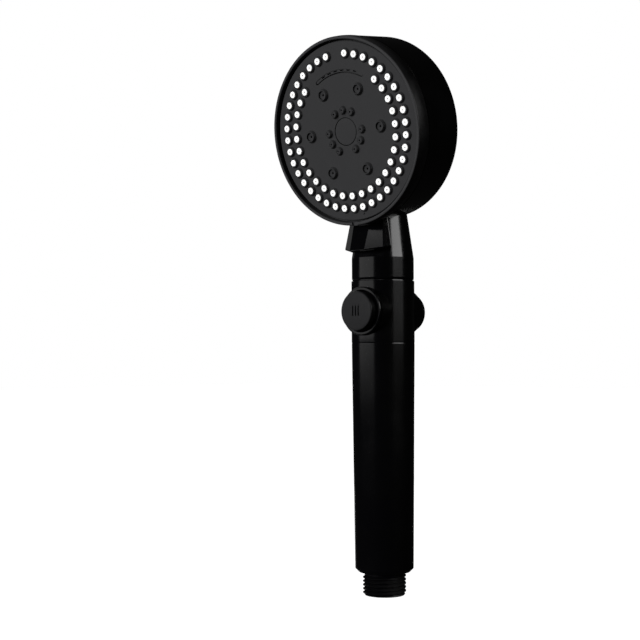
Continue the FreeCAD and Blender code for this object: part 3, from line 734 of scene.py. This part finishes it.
plate = turned([
    (0, -4.3), (42.9, -4.3), (42.9, -2.9), (42.2, -2.9), (42.2, -1.6), (41.9, -1.3), (0, -1.3)], steps=192)
for places, hole, outline in COLLARS:
    foot, top = outline[0][0], outline[-1][1]
    collar = turned([(0, -1.8), (foot, -1.8)] + outline + [(0, top)], steps=28)
    plate = boolean(plate, copies(collar, places), "UNION")
for places, hole, outline in COLLARS:
    holes = copies(turned([(0, -6), (hole, -6), (hole, 2), (0, 2)], steps=28), places)
    plate = boolean(plate, holes, "DIFFERENCE")
for shape in (slot_shape(0.95, -2.9, 2), turned([(0, -6), (6.7, -6), (6.7, 2), (0, 2)], steps=64)):
    plate = boolean(plate, shape, "DIFFERENCE")
mark_x, mark_y = on_circle(39.9, 172.4)
mark = bmesh.new()
bmesh.ops.create_cone(
    mark, cap_ends=True, segments=3, radius1=0.8 * MM, radius2=0.8 * MM, depth=1.0 * MM,
    matrix=Matrix.Translation((mark_x * MM, mark_y * MM, -1.2 * MM)))
plate = boolean(plate, mark, "DIFFERENCE")
piece("spray_plate", plate, IN_HEAD, satin_black, "spray_face", "face_plate")

# %% [markdown]
# ## Nozzles and jets
#
# A rain nozzle is a soft white stub with a rounded rim and a jet hole under half a millimetre wide. All
# of them grow from one web behind the plate, which is how they are moulded. The massage jets lie in
# their collars like a dish, and the mist jets are finer stubs.

# %% Rain nozzles, massage jets and mist jets
stub = turned([
    (0.32, -3.2), (0.32, -0.12), (0.42, -0.03), (1.3, 0.0), (1.5, -0.04), (1.58, -0.12), (1.6, -0.25),
    (1.6, -4.8), (1.0, -4.8), (0.6, -3.4)], steps=28)
rain = copies(stub, rain_places)
web = turned([(28.4, -5.3), (38.7, -5.3), (38.7, -4.3), (28.4, -4.3)], steps=96)
web_mesh = bpy.data.meshes.new("web")
web.to_mesh(web_mesh)
web.free()
rain.from_mesh(web_mesh)
bpy.data.meshes.remove(web_mesh)
piece("rain_nozzles", rain, IN_HEAD, white_silicone, "spray_face", "rain_nozzle_mat")

massage = turned([
    (0.5, -4.9), (0.5, -0.95), (0.68, -0.85), (1.3, -0.75), (1.65, -0.62), (1.85, -0.5), (1.85, -4.3),
    (3.0, -4.3), (3.0, -5.1), (1.2, -5.1)], steps=32)
piece("massage_jets", copies(massage, large_places), IN_HEAD, black_silicone, "spray_face", "large_jets")

mist = turned([
    (0.4, -4.9), (0.4, 0.0), (0.5, 0.12), (0.85, 0.15), (1.0, 0.1), (1.08, -0.05), (1.08, -4.3),
    (1.7, -4.3), (1.7, -5.1), (0.7, -5.1)], steps=28)
piece("mist_jets", copies(mist, small_places), IN_HEAD, black_silicone, "spray_face", "small_jets")

# %% [markdown]
# The curved slot throws a flat curtain of water through six slits, and a plain cap covers the screw
# that the face turns on.

# %% Curtain strip and centre cap
strip = slot_shape(0.6, -4.3, -1.6, radius=28.55)
slits = bmesh.new()
slit_size = Matrix.Diagonal((2.2 * MM, 0.6 * MM, 6 * MM, 1))
for step in range(6):
    clock = -20 + 8 * step
    x, y = on_circle(28.65, clock)
    turn = Matrix.Translation((x * MM, y * MM, -2 * MM)) @ Matrix.Rotation(math.radians(-clock), 4, "Z")
    bmesh.ops.create_cube(slits, size=1.0, matrix=turn @ slit_size)
strip = boolean(strip, slits, "DIFFERENCE")
piece("curtain_strip", strip, IN_HEAD, satin_black, "spray_face", "slot_insert")

cover = turned([
    (0, -3.0), (6.0, -3.0), (6.4, -2.8), (6.4, -1.5), (6.26, -1.32), (6.0, -1.28), (0, -1.2)], steps=96)
piece("centre_cover", cover, IN_HEAD, satin_black, "spray_face", "centre_cap")

# %% [markdown]
# ## Studio
#
# Black gloss shows only what it mirrors, so the lamps are placed by reflection: a low, wide softbox to
# the front left draws the broad strip on the handle, a strong tall one to the right lights the cone of
# the neck, and a dim panel under it carries the same strip on down the collar. A small panel hangs high
# in front, and three dim ones stand behind so that the back isn't quite black. All are seen in
# reflections only. One soft sun from the front left lights the matt parts.

# %% Floor, surroundings and lamps
def direction(azimuth, elevation):
    """Unit vector: azimuth counts from the front (-Y) towards the right (+X), in degrees."""
    a, e = math.radians(azimuth), math.radians(elevation)
    return Vector((math.sin(a) * math.cos(e), -math.cos(a) * math.cos(e), math.sin(e)))


def softbox(name, azimuth, distance, low, high, width, radiance):
    """A rectangle of light at a distance from the handle, from height low to high, in metres."""
    data = bpy.data.lights.new(name, "AREA")
    data.shape = "RECTANGLE"
    data.size = width
    data.size_y = high - low
    data.energy = radiance * math.pi * data.size * data.size_y
    lamp = bpy.data.objects.new(name, data)
    bpy.context.scene.collection.objects.link(lamp)
    lamp.location = direction(azimuth, 0) * distance + Vector((0, 0, (low + high) / 2))
    lamp.rotation_euler = (-direction(azimuth, 0)).to_track_quat("-Z", "Y").to_euler()
    lamp.visible_diffuse = False
    lamp.visible_camera = False
    return lamp


softbox("front_left_softbox", azimuth=-26, distance=0.65, low=0.10, high=0.32, width=0.78, radiance=0.72)
softbox("right_softbox", azimuth=97, distance=0.7, low=0.26, high=0.65, width=0.54, radiance=4.3)
softbox("right_low_panel", azimuth=97, distance=0.7, low=0.13, high=0.25, width=0.50, radiance=0.3)
softbox("upper_front_panel", azimuth=28, distance=0.65, low=0.50, high=0.72, width=0.24, radiance=1.2)
softbox("rear_left_panel", azimuth=-115, distance=0.7, low=0.27, high=0.50, width=0.36, radiance=0.14)
softbox("rear_low_panel", azimuth=-135, distance=0.7, low=-0.30, high=-0.02, width=0.5, radiance=0.5)
softbox("rear_high_panel", azimuth=-112, distance=0.9, low=0.60, high=1.1, width=0.5, radiance=0.9)

sun_data = bpy.data.lights.new("soft_sun", "SUN")
sun_data.energy = 4.4
sun_data.angle = math.radians(25)
sun = bpy.data.objects.new("soft_sun", sun_data)
bpy.context.scene.collection.objects.link(sun)
sun.rotation_euler = (-direction(-18, 8)).to_track_quat("-Z", "Y").to_euler()
sun.visible_glossy = False

world = bpy.data.worlds.new("studio")
bpy.context.scene.world = world
world.use_nodes = True
sky = world.node_tree
seen = add(sky, "ShaderNodeLightPath").outputs["Is Camera Ray"]
level = add(sky, "ShaderNodeMapRange", values={"To Min": 0.008, "To Max": 1.0}, links={"Value": seen})
sky.links.new(level.outputs["Result"], sky.nodes["Background"].inputs["Strength"])
sky.nodes["Background"].inputs["Color"].default_value = (1, 1, 1, 1)

floor_shape = bmesh.new()
below = Matrix.Translation((0, 0, -0.06))
bmesh.ops.create_grid(floor_shape, x_segments=1, y_segments=1, size=6.0, matrix=below)
floor_mesh = bpy.data.meshes.new("floor")
floor_shape.to_mesh(floor_mesh)
floor_shape.free()
floor_white, floor_tree, floor_shader = surface("matt_white_paper", "FFFFFF", Roughness=1.0)
floor_shader.inputs["Emission Color"].default_value = (1, 1, 1, 1)
floor_shader.inputs["Emission Strength"].default_value = 0.9
floor_mesh.materials.append(floor_white)
floor = bpy.data.objects.new("floor", floor_mesh)
bpy.context.scene.collection.objects.link(floor)
floor.visible_glossy = False
floor.visible_diffuse = False
bpy.context.scene.view_settings.view_transform = "Standard"
